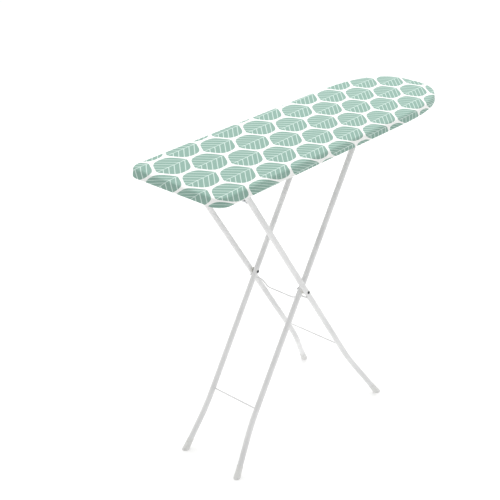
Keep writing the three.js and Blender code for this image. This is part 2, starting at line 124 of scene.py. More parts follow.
def add_node(tree: NodeTree, kind: str, settings: dict, inputs: dict) -> Node:
    """Adds one node with its settings, and links or sets its inputs.

    Args:
        tree: the node tree.
        kind: the node's type name.
        settings: its properties by name.
        inputs: a value, or the output socket to link, for each input by name or number.

    Returns:
        The new node.
    """
    made = tree.nodes.new(kind)
    for name, value in settings.items():
        setattr(made, name, value)
    feed(tree, made, inputs)
    return made


def sums(tree: NodeTree, operation: str, *values: object) -> NodeSocket:
    """Adds a Math node on the given values and returns its output."""
    return add_node(tree, "ShaderNodeMath", {"operation": operation}, dict(enumerate(values))).outputs[0]


def grain(tree: NodeTree, size: float, detail: float = 2.0) -> NodeSocket:
    """Adds noise on Object coordinates.

    Args:
        tree: the node tree.
        size: the grain's size in metres.
        detail: how many finer layers it has.

    Returns:
        The noise's value output.
    """
    place = add_node(tree, "ShaderNodeTexCoord", {}, {})
    settings = {"Vector": place.outputs["Object"], "Scale": 1 / size, "Detail": detail}
    return add_node(tree, "ShaderNodeTexNoise", {}, settings).outputs["Fac"]


def between(tree: NodeTree, amount: object, low: float, high: float) -> NodeSocket:
    """Maps 0 to 1 onto low to high and returns the result's output."""
    inputs = {"Value": amount, "To Min": low, "To Max": high}
    return add_node(tree, "ShaderNodeMapRange", {}, inputs).outputs["Result"]


def ramp(tree: NodeTree, value: object, start: float, end: float) -> NodeSocket:
    """Maps start to end onto a smooth 0 to 1 and returns the result's output."""
    inputs = {"Value": value, "From Min": start, "From Max": end}
    return add_node(tree, "ShaderNodeMapRange", SMOOTH, inputs).outputs["Result"]


def mixed(tree: NodeTree, amount: object, first: object, second: object) -> NodeSocket:
    """Mixes two colours by an amount and returns the result's output."""
    inputs = {"Factor": amount, 6: first, 7: second}
    return add_node(tree, "ShaderNodeMix", {"data_type": "RGBA"}, inputs).outputs[2]


def bump(tree: NodeTree, shader: Node, height: object, depth: float) -> None:
    """Roughens a shader's surface.

    Args:
        tree: the node tree.
        shader: the shader whose normal is set.
        height: the output that gives the height from 0 to 1.
        depth: the height of 1 in metres.
    """
    made = add_node(tree, "ShaderNodeBump", {}, {"Height": height, "Distance": depth, "Strength": 1.0})
    tree.links.new(made.outputs["Normal"], shader.inputs["Normal"])


# ------------------------------------------------------------------ finishes


@dataclass(frozen=True)
class PowderCoat:
    """Polyester powder coat, stoved: even colour, soft gloss and a faint orange peel."""

    name: str = "powder_coated_steel"
    colour: str = "#EAEAEA"
    shade: str = "#DFDFDF"
    roughness: float = 0.36
    peel: float = 2.2 * MM
    peel_depth: float = 0.03 * MM

    def build(self) -> Material:
        """Makes the material.

        Returns:
            The material.
        """
        material, tree, shader = new_material(self.name)
        tone = ramp(tree, grain(tree, 90 * MM), 0.35, 0.7)
        colour = mixed(tree, tone, linear(self.colour), linear(self.shade))
        gloss = between(tree, grain(tree, 30 * MM), self.roughness - 0.05, self.roughness + 0.08)
        feed(tree, shader, {"Base Color": colour, "Roughness": gloss, "IOR": 1.5})
        feed(tree, shader, {"Coat Weight": 0.15, "Coat Roughness": 0.25})
        bump(tree, shader, grain(tree, self.peel, 1.0), self.peel_depth)
        return material


@dataclass(frozen=True)
class ZincPlate:
    """Bright zinc plate on pressed steel: pale metal with fine rolling lines and dull patches."""

    name: str = "zinc_plated_steel"
    colour: str = "#C3C6C9"
    dull: str = "#A3A7AB"
    roughness: float = 0.32
    line: float = 0.8 * MM  # drawn coarser than the real rolling lines, so that they show
    drawn_out: float = 0.05  # the lines run 20 times their spacing along X

    def build(self) -> Material:
        """Makes the material.

        Returns:
            The material.
        """
        material, tree, shader = new_material(self.name)
        patches = ramp(tree, grain(tree, 14 * MM, 3.0), 0.35, 0.7)
        colour = mixed(tree, patches, linear(self.colour), linear(self.dull))
        gloss = between(tree, patches, self.roughness - 0.08, self.roughness + 0.14)
        feed(tree, shader, {"Base Color": colour, "Roughness": gloss, "Metallic": 1.0})
        place = add_node(tree, "ShaderNodeTexCoord", {}, {}).outputs["Object"]
        drawn = {"Vector": place, "Scale": (self.drawn_out, 1.0, 1.0)}
        stretch = add_node(tree, "ShaderNodeMapping", {}, drawn).outputs["Vector"]
        lines = add_node(tree, "ShaderNodeTexNoise", {}, {"Vector": stretch, "Scale": 1 / self.line})
        bump(tree, shader, lines.outputs["Fac"], 0.02 * MM)
        return material


@dataclass(frozen=True)
class RivetSteel:
    """Blackened steel rivet: dark, a little rubbed where the tool closed its head."""

    name: str = "blackened_steel"
    colour: str = "#3B3D3F"
    rubbed: str = "#77797B"
    roughness: float = 0.42

    def build(self) -> Material:
        """Makes the material.

        Returns:
            The material.
        """
        material, tree, shader = new_material(self.name)
        edges = add_node(tree, "ShaderNodeNewGeometry", {}, {}).outputs["Pointiness"]
        wear = sums(tree, "MULTIPLY", ramp(tree, edges, 0.52, 0.62), grain(tree, 1.5 * MM))
        colour = mixed(tree, wear, linear(self.colour), linear(self.rubbed))
        feed(tree, shader, {"Base Color": colour, "Roughness": self.roughness, "Metallic": 0.85})
        bump(tree, shader, grain(tree, 1.0 * MM), 0.02 * MM)
        return material


@dataclass(frozen=True)
class MouldedPlastic:
    """Injection-moulded plastic: soft sheen, fine spark-eroded grain and a slightly scuffed foot."""

    name: str
    colour: str
    scuffed: str
    roughness: float
    grain_size: float = 0.7 * MM

    def build(self) -> Material:
        """Makes the material.

        Returns:
            The material.
        """
        material, tree, shader = new_material(self.name)
        scuffs = ramp(tree, grain(tree, 9 * MM, 4.0), 0.5, 0.75)
        colour = mixed(tree, scuffs, linear(self.colour), linear(self.scuffed))
        gloss = between(tree, scuffs, self.roughness, self.roughness + 0.15)
        feed(tree, shader, {"Base Color": colour, "Roughness": gloss, "IOR": 1.49})
        bump(tree, shader, grain(tree, self.grain_size), 0.03 * MM)
        return material


@dataclass(frozen=True)
class NeedledFelt:
    """Needle-punched felt: matt, off-white, with loose fibres and small needle marks."""

    name: str = "needled_felt"
    colour: str = "#E6E1D8"
    fibre: str = "#CFC8BC"

    def build(self) -> Material:
        """Makes the material.

        Returns:
            The material.
        """
        material, tree, shader = new_material(self.name)
        fibres = grain(tree, 1.6 * MM, 6.0)
        colour = mixed(tree, ramp(tree, fibres, 0.4, 0.65), linear(self.colour), linear(self.fibre))
        feed(tree, shader, {"Base Color": colour, "Roughness": 0.97, "Sheen Weight": 0.3})
        bump(tree, shader, fibres, 0.35 * MM)
        return material


@dataclass(frozen=True)
class LeafPrint:
    """Plain-weave cotton with a print of veined leaves in a honeycomb.

    The cloth's UV map counts half repeats along the board (u) and across it (v), so a leaf sits at every
    point where u and v are both even or both odd. A leaf is the part of its cell where
    ((|a| + slope |b|) / reach)^6 + (|b| / spread)^6 is under 1, with a and b measured from its centre.
    """

    name: str = "printed_cotton"
    ground: str = "#FBFCFA"
    leaf: str = "#8AADA0"
    vein: str = "#CFE3DB"
    reach: float = 0.63
    spread: float = 0.91
    slope: float = 0.354
    sink: float = 0.04  # how far the leaf's centre lies from its cell's centre
    power: float = 6.0
    vein_pitch: float = 0.2245
    vein_start: float = 0.085
    vein_rake: float = 0.55
    vein_half: float = 0.018
    rib_half: float = 0.022
    blur: float = 0.006  # half the width over which a vein's edge fades
    rounding: float = 0.002  # blunts the leaf's two points
    rim: tuple = (1.07, 0.93)  # where the leaf's edge starts and ends
    thread: float = 1.1 * MM  # drawn at twice the real thread spacing, so that the weave shows

    def leaf_cell(self, tree: NodeTree, u: object, v: object, shift: float) -> tuple:
        """Draws one of the two interleaved sets of leaves.

        Args:
            tree: the node tree.
            u: half repeats along the board.
            v: half repeats across the board.
            shift: 0 for the even set and 1 for the odd set.

        Returns:
            Outputs that are 1 inside a leaf, and 1 on its veins.
        """
        a = sums(tree, "WRAP", sums(tree, "SUBTRACT", u, shift), 1.0, -1.0)
        b = sums(tree, "ADD", sums(tree, "WRAP", sums(tree, "SUBTRACT", v, shift), 1.0, -1.0), self.sink)
        away = sums(tree, "ABSOLUTE", b)
        soft = sums(tree, "SQRT", sums(tree, "MULTIPLY_ADD", b, b, self.rounding))
        slant = sums(tree, "MULTIPLY_ADD", soft, self.slope, sums(tree, "ABSOLUTE", a))
        ends = sums(tree, "POWER", sums(tree, "DIVIDE", slant, self.reach), self.power)
        sides = sums(tree, "POWER", sums(tree, "DIVIDE", away, self.spread), self.power)
        inside = ramp(tree, sums(tree, "ADD", ends, sides), *self.rim)
        along = sums(tree, "MULTIPLY_ADD", away, self.vein_rake, a)
        turn = sums(tree, "DIVIDE", sums(tree, "SUBTRACT", along, self.vein_start), self.vein_pitch)
        part = sums(tree, "ABSOLUTE", sums(tree, "WRAP", turn, 0.5, -0.5))
        off = sums(tree, "MULTIPLY", part, self.vein_pitch)
        veins = ramp(tree, off, self.vein_half + self.blur, self.vein_half - self.blur)
        rib = ramp(tree, away, self.rib_half + self.blur, self.rib_half - self.blur)
        return inside, sums(tree, "MAXIMUM", veins, rib)

    def build(self) -> Material:
        """Makes the material.

        Returns:
            The material.
        """
        material, tree, shader = new_material(self.name)
        cloth = add_node(tree, "ShaderNodeUVMap", {"uv_map": Cover.PRINT_MAP}, {})
        split = add_node(tree, "ShaderNodeSeparateXYZ", {}, {0: cloth.outputs[0]})
        colour = linear(self.ground)
        for shift in (0.0, 1.0):
            inside, veins = self.leaf_cell(tree, split.outputs[0], split.outputs[1], shift)
            ink = mixed(tree, veins, linear(self.leaf), linear(self.vein))
            colour = mixed(tree, inside, colour, ink)
        patchy = between(tree, grain(tree, 3 * MM, 4.0), 0.97, 1.03)
        tone = add_node(tree, "ShaderNodeHueSaturation", {}, {"Color": colour, "Value": patchy})
        feed(tree, shader, {"Base Color": tone.outputs["Color"], "Roughness": 0.88, "Sheen Weight": 0.12})
        place = add_node(tree, "ShaderNodeTexCoord", {}, {}).outputs["Object"]
        threads = {"Vector": place, "Scale": math.tau / 20 / self.thread, "Distortion": 0.6}
        bands = [{"bands_direction": direction} for direction in ("X", "Y")]
        waves = [add_node(tree, "ShaderNodeTexWave", band, threads).outputs["Fac"] for band in bands]
        bump(tree, shader, sums(tree, "MULTIPLY", waves[0], waves[1]), 0.06 * MM)
        return material


# ------------------------------------------------------------------ surfaces worked out with numpy


def unit(vectors: np.ndarray) -> np.ndarray:
    """Scales vectors to a length of 1."""
    return vectors / np.linalg.norm(vectors, axis=-1, keepdims=True)


def grid_faces(rings: int, sides: int, closed: bool) -> list:
    """Faces of a grid whose rings close on themselves.

    Args:
        rings: how many rings there are.
        sides: how many points a ring has.
        closed: True where the last ring joins the first, and False where both ends are capped.

    Returns:
        Lists of vertex numbers.
    """
    ring = np.arange(rings if closed else rings - 1)[:, None]
    side = np.arange(sides)[None, :]
    after, beside = (ring + 1) % rings, (side + 1) % sides
    corners = [ring * sides + side, ring * sides + beside, after * sides + beside, after * sides + side]
    faces = np.stack([np.broadcast_to(c, (len(ring), sides)) for c in corners], -1).reshape(-1, 4).tolist()
    if not closed:
        faces.append(list(range(sides))[::-1])
        faces.append(list(range((rings - 1) * sides, rings * sides)))
    return faces


@dataclass
class Path:
    """A line through space that can be asked for its place and direction at any distance along it."""

    points: np.ndarray

    def __post_init__(self) -> None:
        """Measures the distance along the line at each point."""
        steps = np.linalg.norm(np.diff(self.points, axis=0), axis=1)
        self.along = np.concatenate([[0.0], np.cumsum(steps)])

    @property
    def length(self) -> float:
        """The line's length."""
        return float(self.along[-1])

    def at(self, distance: np.ndarray) -> np.ndarray:
        """Points at the given distances, straight on past both ends.

        Args:
            distance: distances from the start.

        Returns:
            One row for each distance.
        """
        inside = np.clip(distance, 0, self.length)
        place = np.stack([np.interp(inside, self.along, self.points[:, k]) for k in range(3)], 1)
        first, last = unit(self.points[1] - self.points[0]), unit(self.points[-1] - self.points[-2])
        before, past = np.minimum(distance, 0)[:, None], np.maximum(distance - self.length, 0)[:, None]
        return place + before * first + past * last

    def heading(self, distance: np.ndarray) -> np.ndarray:
        """Unit directions at the given distances."""
        step = self.length * 1e-3
        return unit(self.at(distance + step) - self.at(distance - step))


def rounded(corners: list, cuts: list, steps: int = 16) -> Path:
    """A path of straight runs whose corners are rounded by quadratic curves.

    Args:
        corners: the path's ends and corners.
        cuts: how far before and after each inner corner its curve starts and ends.
        steps: how many steps a curve has.

    Returns:
        The path.
    """
    turns = np.array(corners, float)
    t = np.linspace(0, 1, steps)[:, None]
    parts = [turns[:1]]
    for i, cut in enumerate(cuts, start=1):
        enter = turns[i] + unit(turns[i - 1] - turns[i]) * cut
        leave = turns[i] + unit(turns[i + 1] - turns[i]) * cut
        parts.append((1 - t) ** 2 * enter + 2 * t * (1 - t) * turns[i] + t**2 * leave)
    return Path(np.concatenate([*parts, turns[-1:]]))


def swept(path: Path, profile: list, sides: int, across: np.ndarray, closed: bool = False) -> tuple:
    """Carries circles along a path.

    Ring k is a circle of radius r_k, square to the path at distance d_k along it.

    Args:
        path: the path.
        profile: pairs of distance along the path and radius.
        sides: how many points a circle has.
        across: a direction that the path never follows, from which the circles are turned.
        closed: True where the profile closes on itself, and False where both ends are capped.

    Returns:
        The points and the faces.
    """
    distance, radius = np.array(profile, float).T
    heading = path.heading(distance)
    first = unit(np.cross(heading, across))
    second = np.cross(heading, first)
    angle = np.linspace(0, math.tau, sides, endpoint=False)
    cosine, sine = np.cos(angle)[None, :, None], np.sin(angle)[None, :, None]
    circle = cosine * first[:, None] + sine * second[:, None]
    points = path.at(distance)[:, None] + radius[:, None, None] * circle
    return points.reshape(-1, 3), grid_faces(len(distance), sides, closed)


def merged(parts: list) -> tuple:
    """Puts several point and face lists into one.

    Args:
        parts: pairs of points and faces.

    Returns:
        All points and all faces.
    """
    points, faces, count = [], [], 0
    for part_points, part_faces in parts:
        faces += [[corner + count for corner in face] for face in part_faces]
        points.append(part_points)
        count += len(part_points)
    return np.concatenate(points), faces


def ball(centre: np.ndarray, radii: tuple, rings: int = 9, sides: int = 14) -> tuple:
    """An ellipsoid on an upright axis, as used for weld beads.

    Args:
        centre: its middle.
        radii: its half sizes along X, Y and Z.
        rings: how many rings it has between its flattened ends.
        sides: how many points a ring has.

    Returns:
        The points and the faces.
    """
    tilt = np.linspace(-1.5, 1.5, rings)[:, None]
    angle = np.linspace(0, math.tau, sides, endpoint=False)[None]
    x, y = np.cos(tilt) * np.cos(angle), np.cos(tilt) * np.sin(angle)
    points = np.stack([x, y, np.broadcast_to(np.sin(tilt), x.shape)], -1) * np.array(radii)
    return (points + centre).reshape(-1, 3), grid_faces(rings, sides, False)


def piece(
    name: str,
    shape: tuple,
    finish: Material,
    body: Body,
    stands_for: tuple = (),
    smooth: bool = True,
) -> Object:
    """Makes an object from points and faces, points its faces outwards and puts it on its body.

    Args:
        name: the piece's name.
        shape: its points and faces.
        finish: its material.
        body: the body that it rides on.
        stands_for: the CAD nodes that it replaces.
        smooth: True to shade it smoothly, with edges over 35 degrees left sharp.

    Returns:
        The object.
    """
    points, faces = shape
    mesh = bpy.data.meshes.new(name)
    mesh.from_pydata(np.asarray(points, float).tolist(), [], faces)
    tidy = bmesh.new()
    tidy.from_mesh(mesh)
    bmesh.ops.remove_doubles(tidy, verts=tidy.verts, dist=1e-7)
    bmesh.ops.recalc_face_normals(tidy, faces=tidy.faces)
    tidy.to_mesh(mesh)
    tidy.free()
    if smooth:
        mesh.shade_smooth()
        mesh.set_sharp_from_angle(angle=math.radians(35))
    mesh.materials.append(finish)
    made = bpy.data.objects.new(name, mesh)
    bpy.context.scene.collection.objects.link(made)
    if stands_for:
        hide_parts(*stands_for)
    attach(made, body.value)
    return made


# ------------------------------------------------------------------ board outline


@dataclass
class Outline:
    """Plan of the board: square blunt end with round corners, straight sides and a superellipse nose."""

    nose_start: float = 0.212
    nose_power_x: float = 2.62
    nose_power_y: float = 2.72
    corner: float = 0.034
    count: int = 500

    def __post_init__(self) -> None:
        """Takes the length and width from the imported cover, and works out the rim and the spine."""
        low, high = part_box("cover")
        self.half_length, self.half_width = high.x, high.y
        turn = np.linspace(0, math.pi / 2, 400)
        reach = np.cos(turn) ** (2 / self.nose_power_x)
        nose_x = self.nose_start + (self.half_length - self.nose_start) * reach
        nose_y = self.half_width * np.sin(turn) ** (2 / self.nose_power_y)
        corner_x = -self.half_length + self.corner * (1 - np.sin(turn))
        corner_y = self.half_width - self.corner * (1 - np.cos(turn))
        half = np.stack([np.append(nose_x, corner_x), np.append(nose_y, corner_y)], 1)
        half = np.concatenate([half, [[-self.half_length, 0.0]]])
        steps = np.append(0, np.cumsum(np.linalg.norm(np.diff(half, axis=0), axis=1)))
        even = np.linspace(0, steps[-1], self.count // 2 + 1)
        side = np.stack([np.interp(even, steps, half[:, k]) for k in (0, 1)], 1)
        self.rim = np.concatenate([side, side[-2:0:-1] * [1, -1]])
        heading = unit(np.roll(self.rim, -1, 0) - np.roll(self.rim, 1, 0))
        self.inward = np.stack([-heading[:, 1], heading[:, 0]], 1)
        self.bend = np.linalg.norm(np.roll(heading, -1, 0) - np.roll(heading, 1, 0), axis=1)
        blunt, nose = -self.half_length + 0.8 * self.half_width, self.half_length - 0.9 * self.half_width
        self.spine = np.stack([np.clip(self.rim[:, 0], blunt, nose), np.zeros(len(self.rim))], 1)

    def place(self, share: np.ndarray, inset: np.ndarray) -> np.ndarray:
        """Plan points of rings that lie between the spine and the rim.

        Args:
            share: how far out each ring is, from 0 on the spine to 1 on the inset rim.
            inset: how far inwards the rim is moved for each ring.

        Returns:
            Rings by points by x and y.
        """
        moved = self.rim[None] + inset[:, None, None] * self.inward[None]
        return self.spine[None] * (1 - share[:, None, None]) + moved * share[:, None, None]

    def shell(self, share: list, inset: list, height: list) -> tuple:
        """Rings of a surface that follows the outline.

        Args:
            share: how far out each ring is.
            inset: how far inwards its rim is moved.
            height: its z.

        Returns:
            Rings by points by three, and the faces with no end caps.
        """
        plan = self.place(np.array(share), np.array(inset))
        z = np.broadcast_to(np.array(height)[:, None, None], (*plan.shape[:2], 1))
        faces = [face[::-1] for face in grid_faces(len(height), len(self.rim), False)[:-2]]
        return np.concatenate([plan, z], -1), faces


# ------------------------------------------------------------------ board top


@dataclass
class Cover:
    """Printed cotton pulled over the pad and gathered under the edge."""

    outline: Outline
    crown: float = 1.2 * MM
    edge_radius: float = 8.0 * MM
    lower_radius: float = 2.5 * MM
    bulge: float = 1.5 * MM
    hem: float = 29.0 * MM
    cloth: float = 0.9 * MM
    pucker: float = 1.3 * MM
    pucker_waves: int = 92
    least_gather: float = 0.18
    unevenness: float = 1.3
    drift: float = 0.37
    swell: float = 2.4 * MM
    pull: tuple = (-1.47, -1.27)
    pressure: float = 4.0
    stiffness: float = 40.0
    steps: int = 20

    PRINT_MAP = "print"
    # Half repeats of the print per metre, how its rows lean and drift, and how the cloth is pulled.
    REPEATS = (12.41, -18.76)
    START = (5.377, -0.429)
    LEAN = (-2.41, 0.595)
    PULL_ALONG = (0.69, -0.054)
    PULL_CORNER = (-2.74, -1.01)
    PULL_ACROSS = (0.74, 3.95)

    def profile(self) -> tuple[list, list, list, list]:
        """The cover's section from the spine to the end of the hem.

        Returns:
            For each ring its share, inset and height, and the cloth's length past the start of the edge.
        """
        low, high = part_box("cover")
        top, base = high.z, low.z
        r, s, out = self.edge_radius, self.lower_radius, self.bulge
        flat = np.linspace(0, 1, 32) ** 0.8
        quarter = np.linspace(0, math.pi / 2, 9)[1:]
        side = np.linspace(0, 1, 5)[1:-1]
        hem = np.linspace(0, 1, 8)
        share = np.concatenate([flat, np.ones(len(quarter) * 2 + len(side) + len(hem))])
        inset = np.concatenate(
            [
                np.full(len(flat), r),
                r * (1 - np.sin(quarter)),
                -out * side,
                (s + out) * (1 - np.cos(quarter)) - out,
                s + (self.hem - s) * hem,
            ]
        )
        shoulder, foot = top - self.crown - r, base + s
        height = np.concatenate(
            [
                top - self.crown * flat**4,
                shoulder + r * np.cos(quarter),
                shoulder + (foot - shoulder) * side,
                foot - s * np.sin(quarter),
                np.full(len(hem), base) + 1e-6 * hem,
            ]
        )
        drop = np.append(0, np.cumsum(np.hypot(np.diff(inset), np.diff(height))))
        return share, inset, height, drop - drop[len(flat) - 1]

    def flattened(self, share: np.ndarray, inset: np.ndarray, height: np.ndarray) -> np.ndarray:
        """Where the cover's rings lie on the flat cloth.

        A point p at depth d below the top goes to p + d (pull - 2 min(0, pull . n) n), with n pointing
        outwards, so the cloth is drawn askew over the edge but always runs on outwards. Under the board p
        keeps running outwards from the rim.

        Args:
            share: how far out each ring is.
            inset: how far inwards its rim is moved.
            height: its z.

        Returns:
            Rings by points by x and y.
        """
        low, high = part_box("cover")
        under = height < low.z + self.lower_radius - 1e-9
        plan = self.outline.place(share, np.where(under, -inset - 2 * self.bulge, inset))
        outward, pull = -self.outline.inward, np.array(self.pull)
        turned = pull - 2 * np.minimum(outward @ pull, 0)[:, None] * outward
        return plan + (high.z - height)[:, None, None] * turned[None]

    def print_place(self, flat: np.ndarray) -> np.ndarray:
        """Where points of the flat cloth fall in the print.

        Args:
            flat: x and y of points of the cloth laid flat.

        Returns:
            Half repeats along and across the board.
        """
        x, y = flat[..., 0:1], flat[..., 1:2]
        start, lean, repeats = np.array(self.START), np.array(self.LEAN), np.array(self.REPEATS)
        run = np.concatenate([repeats[0] * x + lean[0] * y, lean[1] * x + repeats[1] * y], -1)
        pull = x * x * self.PULL_ALONG + x * y * self.PULL_CORNER + y * y * self.PULL_ACROSS
        return start + run + pull

    def gathers(self, inset: np.ndarray, drop: np.ndarray) -> np.ndarray:
        """Rise and fall of the hem: waves of uneven length, deepest at its end and where the rim bends.

        Args:
            inset: how far inwards each ring is.
            drop: the cloth's length past the start of the edge for each ring.

        Returns:
            Rings by points by the move along x, y and z.
        """
        turn = np.linspace(0, math.tau * self.pucker_waves, len(self.outline.rim), endpoint=False)
        gather = np.clip(self.outline.bend / self.outline.bend.max(), self.least_gather, 1)
        depth = np.clip((inset - self.lower_radius) / self.hem, 0, 1) * (drop > self.edge_radius)
        wave = np.sin(turn + self.unevenness * np.sin(turn * self.drift)) * gather * self.pucker
        rise = depth[:, None] * wave[None]
        return np.stack([0 * rise, 0 * rise, rise], -1)

    def printed_mesh(self, points: np.ndarray, faces: list, uv: np.ndarray) -> Mesh:
        """Makes the cover's mesh with the print's map, and closes its spine.

        Args:
            points: the cover's points.
            faces: its faces.
            uv: the place of each point in the print.

        Returns:
            The mesh.
        """
        mesh = bpy.data.meshes.new("printed_cover")
        mesh.from_pydata(points.tolist(), [], faces)
        layer = mesh.uv_layers.new(name=self.PRINT_MAP)
        corners = np.zeros(len(mesh.loops), np.int32)
        mesh.loops.foreach_get("vertex_index", corners)
        layer.data.foreach_set("uv", uv[corners].astype(np.float32).ravel())
        tidy = bmesh.new()
        tidy.from_mesh(mesh)
        bmesh.ops.remove_doubles(tidy, verts=tidy.verts, dist=1e-6)
        bmesh.ops.dissolve_degenerate(tidy, edges=tidy.edges, dist=1e-6)
        tidy.to_mesh(mesh)
        tidy.free()
        mesh.shade_smooth()
        return mesh

    def build(self, finish: Material) -> Object:
        """Makes the cover, with gathers under the edge, and lays the print on it.

        Args:
            finish: the printed cotton.

        Returns:
            The cover.
        """
        share, inset, height, drop = self.profile()
        points, faces = self.outline.shell(share, inset, height)
        points = (points + self.gathers(inset, drop)).reshape(-1, 3)
        uv = self.print_place(self.flattened(share, inset, height)).reshape(-1, 2)
        mesh = self.printed_mesh(points, faces, uv)
        mesh.materials.append(finish)
        made = bpy.data.objects.new("printed_cover", mesh)
        bpy.context.scene.collection.objects.link(made)
        LOG.info("cover: %d rings of %d points", len(height), len(self.outline.rim))
        self.settle(made)
        self.thicken(made)
        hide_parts("cover")
        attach(made, Body.BOARD.value)
        return made

    def settle(self, made: Object) -> None:
        """Lets the cloth swell over its pad: cloth under light pressure, held from the edge down.

        The simulated rise is scaled so that its highest point is the swell, and replaces the flat top.

        Args:
            made: the cover before it has a thickness.
        """
        mesh = made.data
        rest = np.zeros(len(mesh.vertices) * 3, np.float32)
        mesh.vertices.foreach_get("co", rest)
        rest = rest.reshape(-1, 3)
        top = rest[:, 2].max()
        held = np.where(rest[:, 2] < top - self.crown - 0.5 * self.edge_radius)[0]
        group = made.vertex_groups.new(name="held")
        group.add(held.tolist(), 1.0, "REPLACE")
        cloth = made.modifiers.new("settle", "CLOTH")
        cloth.settings.quality = 4
        cloth.settings.vertex_group_mass = "held"
        cloth.settings.use_pressure = True
        cloth.settings.uniform_pressure_force = self.pressure
        cloth.settings.effector_weights.gravity = 0.0
        cloth.settings.tension_stiffness = self.stiffness
        cloth.settings.compression_stiffness = self.stiffness
        cloth.collision_settings.use_collision = False
        scene = bpy.context.scene
        for step in range(1, self.steps + 1):
            scene.frame_set(step)
        evaluated = made.evaluated_get(bpy.context.evaluated_depsgraph_get())
        moved = np.zeros(len(rest) * 3, np.float32)
        evaluated.data.vertices.foreach_get("co", moved)
        rise = moved.reshape(-1, 3)[:, 2] - rest[:, 2]
        made.modifiers.remove(cloth)
        made.vertex_groups.remove(group)
        scene.frame_set(1)
        share = rise / max(float(np.abs(rise).max()), 1e-6)
        rest[:, 2] += (self.swell - self.crown) * np.clip(share, 0, 1)
        mesh.vertices.foreach_set("co", rest.ravel())
        mesh.update()
        LOG.info("cover settled: simulated rise %.1f mm", float(np.abs(rise).max()) / MM)

    def thicken(self, made: Object) -> None:
        """Gives the cloth its thickness, inwards from the printed face.

        Args:
            made: the cover.
        """
        wall = made.modifiers.new("cloth", "SOLIDIFY")
        wall.thickness = self.cloth
        wall.offset = -1.0


@dataclass
class FeltPad:
    """Felt between the pierced panel and the cover, its edge rounded off under the cover's."""

    outline: Outline
    roll: float = 8.0 * MM
    slack: float = 1.4 * MM
    crown: float = 0.6 * MM
    rows: int = 12

    def build(self, finish: Material) -> Object:
        """Makes the pad as a closed slab whose edge lies a constant distance inside the cover's roll.

        Args:
            finish: the felt.

        Returns:
            The pad.
        """
        low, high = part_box("pad")
        radius = self.roll - self.slack
        shoulder = high.z - radius - self.crown
        lowest = math.acos((low.z - shoulder) / radius)
        flat = np.linspace(0, 1, self.rows)
        arc = np.linspace(0, lowest, 9)[1:]
        inset = self.roll - radius * np.sin(arc)
        share = np.concatenate([flat, np.ones(len(arc)), flat[::-1]])
        under = np.full(self.rows, inset[-1] + 1 * MM)
        insets = np.concatenate([np.full(self.rows, self.roll), inset, under])
        upper = high.z - self.crown * flat**4
        height = np.concatenate([upper, shoulder + radius * np.cos(arc), np.full(self.rows, low.z)])
        points, faces = self.outline.shell(share, insets, height)
        made = piece("felt_pad", (points.reshape(-1, 3), faces), finish, Body.BOARD, ("pad",))
        return made


@dataclass
class PiercedPanel:
    """Sheet steel pierced with a honeycomb of steam holes inside a plain margin."""

    outline: Outline
    pitch: float = 11.0 * MM
    hole: float = 3.9 * MM
    margin: float = 22.0 * MM
    lap: float = 0.08 * MM
    half_field: tuple = (0.55, 0.2)  # the cells cover this much before they are cut to the outline

    def honeycomb(self, low: float, high: float) -> tuple:
        """Six-sided cells, each with a six-sided hole.

        Args:
            low: the sheet's lower face.
            high: the sheet's upper face.

        Returns:
            The points and the faces.
        """
        row_pitch = self.pitch * math.sqrt(3) / 2
        last_column, last_row = int(self.half_field[0] / self.pitch), int(self.half_field[1] / row_pitch)
        rows = np.arange(-last_row, last_row + 1)
        columns = np.arange(-last_column, last_column + 1)
        row, column = np.meshgrid(rows, columns, indexing="ij")
        centres = np.stack([(column + 0.5 * (row % 2)) * self.pitch, row * row_pitch], -1).reshape(-1, 2)
        edge = self.outline.rim + self.margin * self.outline.inward
        left = edge[: len(edge) // 2][::-1]
        reach = np.interp(centres[:, 0], left[:, 0], left[:, 1])
        blunt = -self.outline.half_length + self.margin
        centres = centres[(np.abs(centres[:, 1]) < reach) & (centres[:, 0] > blunt)]
        angle = math.pi / 6 + np.arange(6) * math.pi / 3
        spokes = np.stack([np.cos(angle), np.sin(angle)], 1)
        outer = centres[:, None] + spokes[None] * self.pitch / math.sqrt(3)
        inner = centres[:, None] + spokes[None] * self.hole
        loops = [(outer, high), (inner, high), (inner, low), (outer, low)]
        levels = [np.concatenate([loop, np.full((*loop.shape[:2], 1), z)], -1) for loop, z in loops]
        points = np.concatenate([level.reshape(-1, 3) for level in levels])
        step = len(centres) * 6
        first = np.arange(step)
        after = first - first % 6 + (first + 1) % 6
        ring = np.stack([first, after, step + after, step + first], 1)
        rings = [ring + k * step for k in range(3)]
        middle = np.round((outer + outer[:, [1, 2, 3, 4, 5, 0]]).reshape(-1, 2) / 2, 6)
        _, which, uses = np.unique(middle, axis=0, return_inverse=True, return_counts=True)
        bare = uses[which.reshape(-1)] == 1
        wall = np.stack([3 * step + first, 3 * step + after, after, first], 1)[bare]
        return points, np.concatenate([*rings, wall]).tolist()

    def border(self, low: float, high: float) -> tuple:
        """The plain margin: a flat ring that laps over the outer cells.

        Args:
            low: the ring's lower face.
            high: its upper face.

        Returns:
            The points and the faces.
        """
        outer = self.outline.half_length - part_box("top_panel")[1].x
        inner = self.margin + self.pitch
        points, _ = self.outline.shell([1.0] * 4, [outer, inner, inner, outer], [high, high, low, low])
        return points.reshape(-1, 3), grid_faces(4, len(self.outline.rim), True)

    def build(self, finish: Material) -> Object:
        """Makes the panel.

        Args:
            finish: the painted sheet.

        Returns:
            The panel.
        """
        low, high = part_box("top_panel")
        cells = self.honeycomb(low.z + self.lap, high.z - self.lap)
        shape = merged([cells, self.border(low.z, high.z)])
        return piece("pierced_panel", shape, finish, Body.BOARD, ("top_panel",), smooth=False)


# ------------------------------------------------------------------ leg sets


